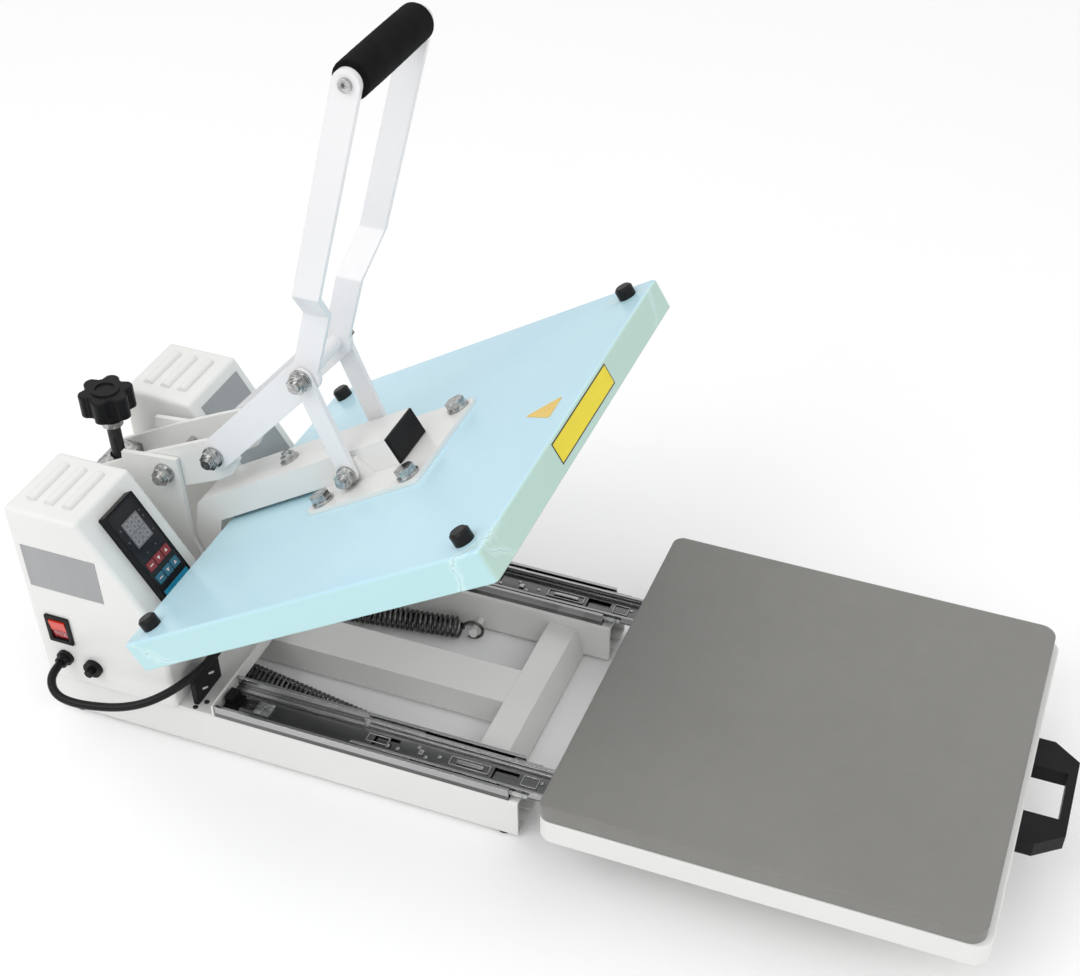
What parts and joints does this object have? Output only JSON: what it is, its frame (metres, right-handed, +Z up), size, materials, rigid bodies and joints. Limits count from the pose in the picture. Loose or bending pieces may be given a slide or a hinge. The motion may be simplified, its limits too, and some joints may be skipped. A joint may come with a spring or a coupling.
{
  "type": "clamshell heat press",
  "caption": "Clamshell heat press with a slide-out lower drawer and silicone pad, an over-centre toggle handle, a pressure knob and a side control box.",
  "frame": {"origin": "on the floor under the middle of the whole outline, with the drawer out and the platen open", "axes": "-Y is the front, where the drawer slides out; +Z is up; the control box is on the -X side"},
  "size_m": [0.408, 0.9464, 0.663],
  "materials": {
    "cream_paint": "satin",
    "white_paint": "satin",
    "pale_blue_paint": "satin",
    "zinc": "satin",
    "bright_steel": "polished",
    "black_steel": "satin",
    "black_plastic": "matte",
    "black_rubber": "matte",
    "black_foam": "matte",
    "silicone": "matte",
    "aluminium": "satin",
    "insulation": "matte",
    "fibre_board": "matte",
    "display": "gloss",
    "red_plastic": "gloss",
    "red_key": "gloss",
    "blue_key": "gloss",
    "silver_plate": "satin"
  },
  "bodies": {
    "base": {"side_rail_near": "cream_paint", "side_rail_far": "cream_paint", "centre_beam": "cream_paint", "front_cross_member": "cream_paint", "rear_deck": "cream_paint", "rubber_feet": "black_rubber", "slide_outers": "zinc", "slide_bumpers": "black_plastic", "control_cover": "cream_paint", "chart_cover": "cream_paint", "controller_bezel": "black_plastic", "controller_face": "display", "rocker_frame": "black_plastic", "breaker_collar": "black_plastic", "cable_gland": "black_rubber", "blank_plates": "silver_plate", "cable_guide": "black_plastic", "heater_cable": "black_rubber", "uprights": "cream_paint", "main_pivot_pin": "bright_steel", "lever_pivot_bolt": "bright_steel", "springs": "black_steel"},
    "slide_middle": {"slide_middles": "zinc"},
    "drawer": {"slide_inners": "zinc", "tray_pan": "cream_paint", "tray_board": "fibre_board", "silicone_pad": "silicone", "drawer_handle": "black_plastic"},
    "pressure_lever": {"lever_plates": "cream_paint", "nut_block": "bright_steel", "handle_pivot_bolt": "bright_steel"},
    "pressure_screw": {"pressure_knob": "black_plastic", "knob_rod": "black_steel", "knob_collar": "bright_steel"},
    "handle": {"handle_bars": "white_paint", "foam_grip": "black_foam", "grip_rod": "bright_steel", "grip_screws": "bright_steel", "toggle_spacer": "white_paint"},
    "platen_arm": {"arm_tube": "cream_paint", "arm_end_cap": "black_plastic", "platen_bracket": "cream_paint", "bracket_bolts": "bright_steel", "stop_stud": "bright_steel", "strut_pivot_bolt": "bright_steel", "platen_cover": "pale_blue_paint", "heater_plate": "aluminium", "heater_wool": "insulation", "cover_knobs": "black_rubber", "platen_inlet": "black_rubber"},
    "struts": {"struts": "white_paint", "toggle_nuts": "bright_steel"},
    "rocker": {"rocker_switch": "red_plastic"},
    "breaker": {"breaker_button": "black_plastic"},
    "key_1": {"controller_key_1": "red_key"},
    "key_2": {"controller_key_2": "red_key"},
    "key_3": {"controller_key_3": "red_key"},
    "key_4": {"controller_key_4": "blue_key"},
    "key_5": {"controller_key_5": "blue_key"},
    "key_6": {"controller_key_6": "blue_key"}
  },
  "joints": [
    {"name": "drawer_slide", "type": "slide", "parent": "base", "child": "drawer", "axis": [0, 1, 0], "range_m": [0, 0.305]},
    {"name": "middle_slide", "type": "slide", "parent": "base", "child": "slide_middle", "axis": [0, 1, 0], "range_m": [0, 0.11895]},
    {"name": "knob_turn", "type": "hinge", "parent": "base", "child": "pressure_screw", "pos_m": [0, 0.4488, 0.25], "axis": [0, 0, 1], "range_deg": [-150, 150]},
    {"name": "lever_tilt", "type": "hinge", "parent": "base", "child": "pressure_lever", "pos_m": [0, 0.3773, 0.224], "axis": [1, 0, 0], "range_deg": [-0.6, 0.6]},
    {"name": "handle_fold", "type": "hinge", "parent": "pressure_lever", "child": "handle", "pos_m": [0, 0.3219, 0.2572], "axis": [1, 0, 0], "range_deg": [0, 75.68]},
    {"name": "platen_fold", "type": "hinge", "parent": "base", "child": "platen_arm", "pos_m": [0, 0.3644, 0.0646], "axis": [1, 0, 0], "range_deg": [0, 31.74], "deforming": ["springs", "heater_cable"]},
    {"name": "strut_fold", "type": "hinge", "parent": "platen_arm", "child": "struts", "pos_m": [0, 0.18538, 0.27798], "axis": [1, 0, 0], "range_deg": [-80.49, 0]},
    {"name": "rocker_tip", "type": "hinge", "parent": "base", "child": "rocker", "pos_m": [-0.1488, 0.4368, 0.112], "axis": [0, 1, 0], "range_deg": [0, 18]},
    {"name": "breaker_press", "type": "slide", "parent": "base", "child": "breaker", "axis": [1, 0, 0], "range_m": [0, 0.002], "stiffness_N_per_m": 400},
    {"name": "key_1_press", "type": "slide", "parent": "base", "child": "key_1", "axis": [0, 0.8525, -0.5228], "range_m": [0, 0.0005], "stiffness_N_per_m": 300},
    {"name": "key_2_press", "type": "slide", "parent": "base", "child": "key_2", "axis": [0, 0.8525, -0.5228], "range_m": [0, 0.0005], "stiffness_N_per_m": 300},
    {"name": "key_3_press", "type": "slide", "parent": "base", "child": "key_3", "axis": [0, 0.8525, -0.5228], "range_m": [0, 0.0005], "stiffness_N_per_m": 300},
    {"name": "key_4_press", "type": "slide", "parent": "base", "child": "key_4", "axis": [0, 0.8525, -0.5228], "range_m": [0, 0.0005], "stiffness_N_per_m": 300},
    {"name": "key_5_press", "type": "slide", "parent": "base", "child": "key_5", "axis": [0, 0.8525, -0.5228], "range_m": [0, 0.0005], "stiffness_N_per_m": 300},
    {"name": "key_6_press", "type": "slide", "parent": "base", "child": "key_6", "axis": [0, 0.8525, -0.5228], "range_m": [0, 0.0005], "stiffness_N_per_m": 300}
  ],
  "couplings": [
    {"joint": "middle_slide", "follows": "drawer_slide", "ratio": 0.39},
    {"joint": "lever_tilt", "follows": "knob_turn", "ratio": 0.004},
    {"joint": "platen_fold", "follows": "handle_fold", "ratio": 0.41938},
    {"joint": "strut_fold", "follows": "handle_fold", "ratio": -1.0636}
  ]
}
